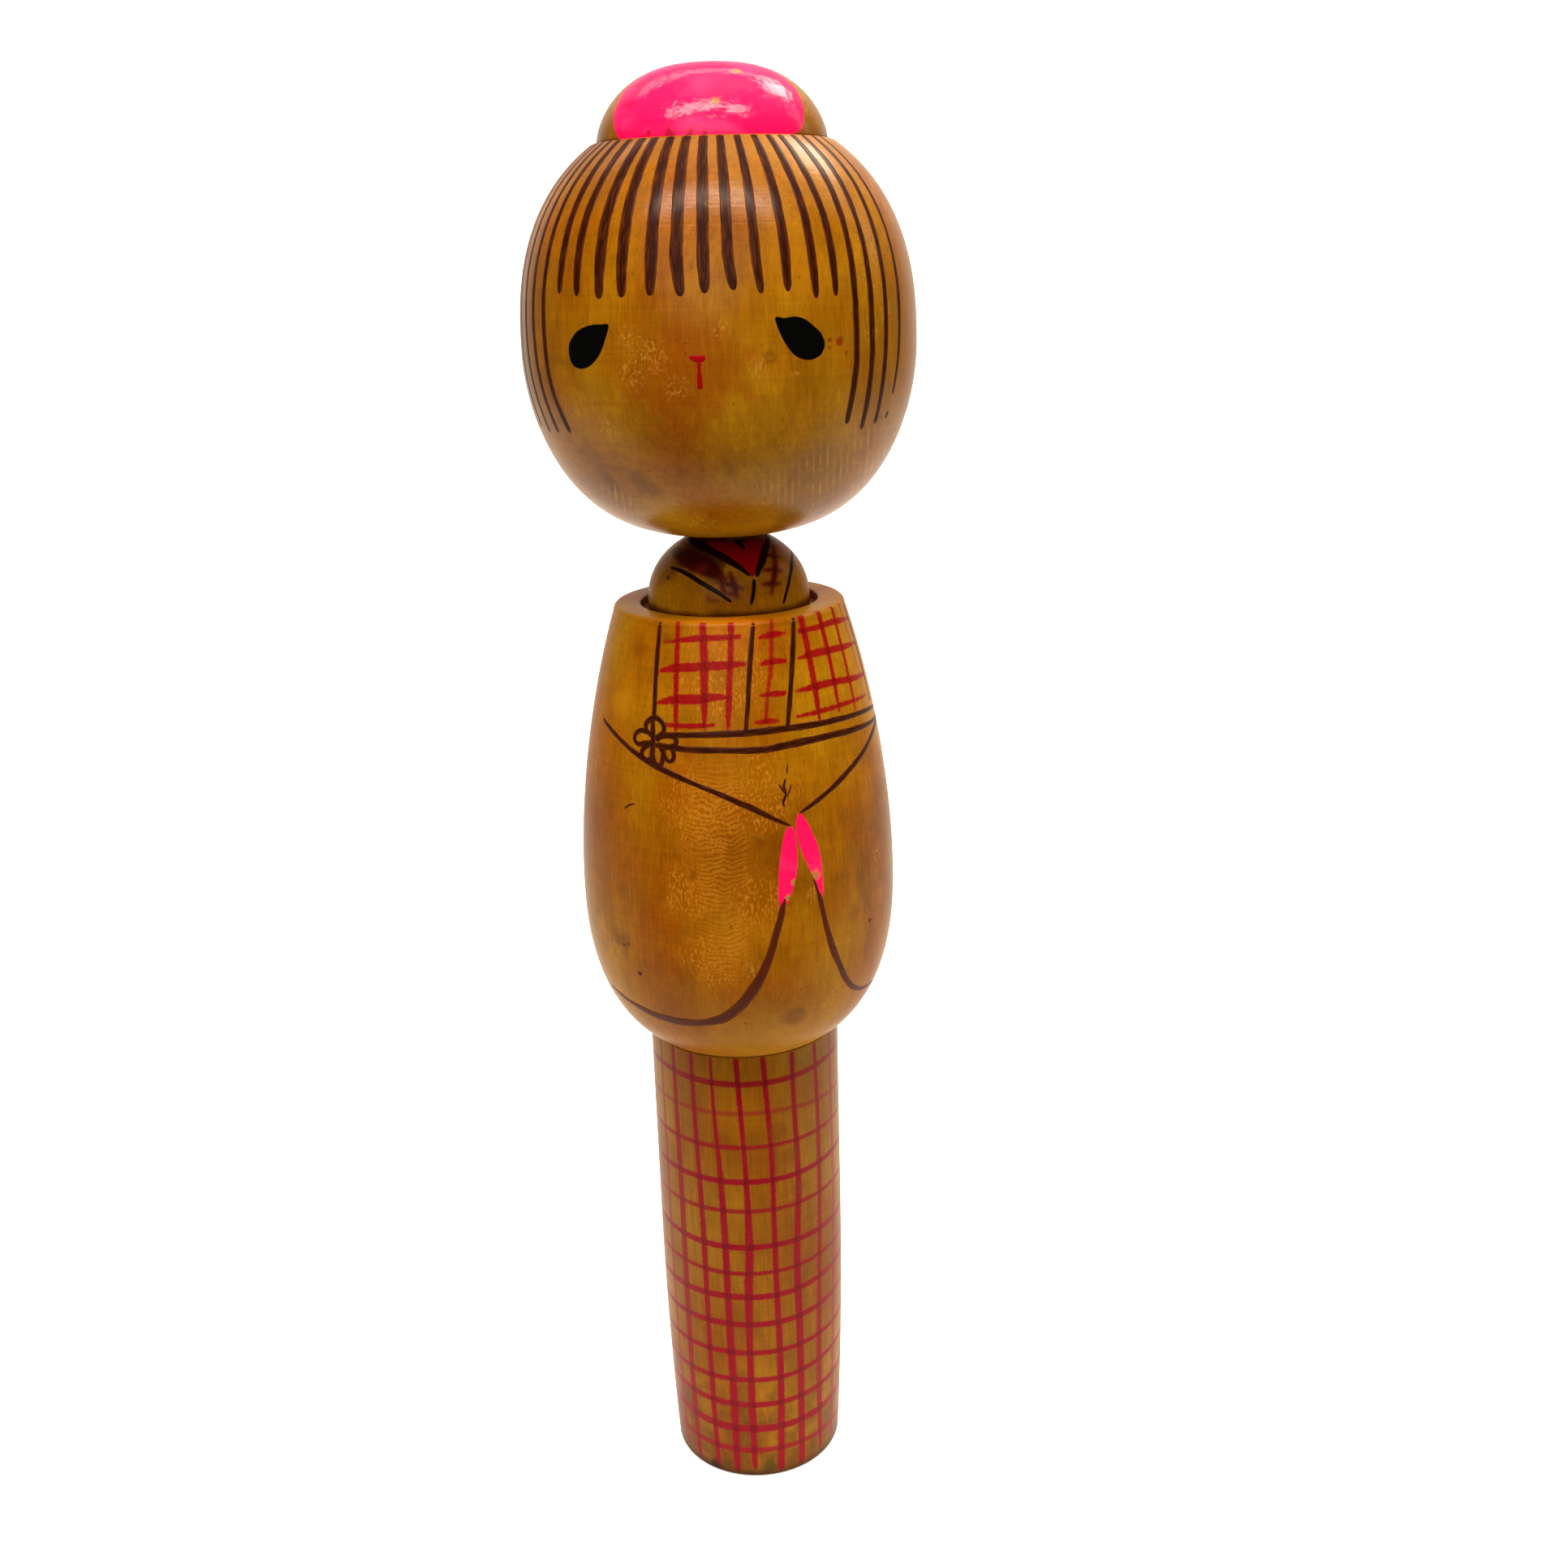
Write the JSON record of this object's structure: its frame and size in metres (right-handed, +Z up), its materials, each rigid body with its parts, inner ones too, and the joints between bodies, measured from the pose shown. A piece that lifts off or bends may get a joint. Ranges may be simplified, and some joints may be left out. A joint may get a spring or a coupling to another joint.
{
  "type": "kokeshi doll",
  "caption": "Turned wooden kokeshi doll: a round head with a topknot turns on a peg above a domed shoulder, a barrel jacket and a slim skirt column.",
  "frame": {"origin": "centre of the flat foot, on the surface that the doll stands on", "axes": "+Z up along the turning axis, the painted face and the front of the jacket look along -Y, +X to the viewer's right"},
  "size_m": [0.0758, 0.0758, 0.2997],
  "materials": {
    "lacquered_wood": "turned pale hardwood under aged honey-coloured clear lacquer, satin gloss",
    "topknot_wood": "turned hardwood with a patch of glossy rose enamel on its front",
    "bare_wood": "plain turned dowel, unfinished"
  },
  "bodies": {
    "figure": {"leg_column": "lacquered_wood", "jacket_barrel": "lacquered_wood", "shoulder_dome": "lacquered_wood", "neck_peg": "bare_wood", "waist_dowel": "bare_wood"},
    "head": {"head": "lacquered_wood", "topknot": "topknot_wood"}
  },
  "joints": [
    {"name": "head_swivel", "type": "hinge", "parent": "figure", "child": "head", "pos_m": [0, 0, 0.2134], "axis": [0, 0, 1], "continuous": true}
  ]
}
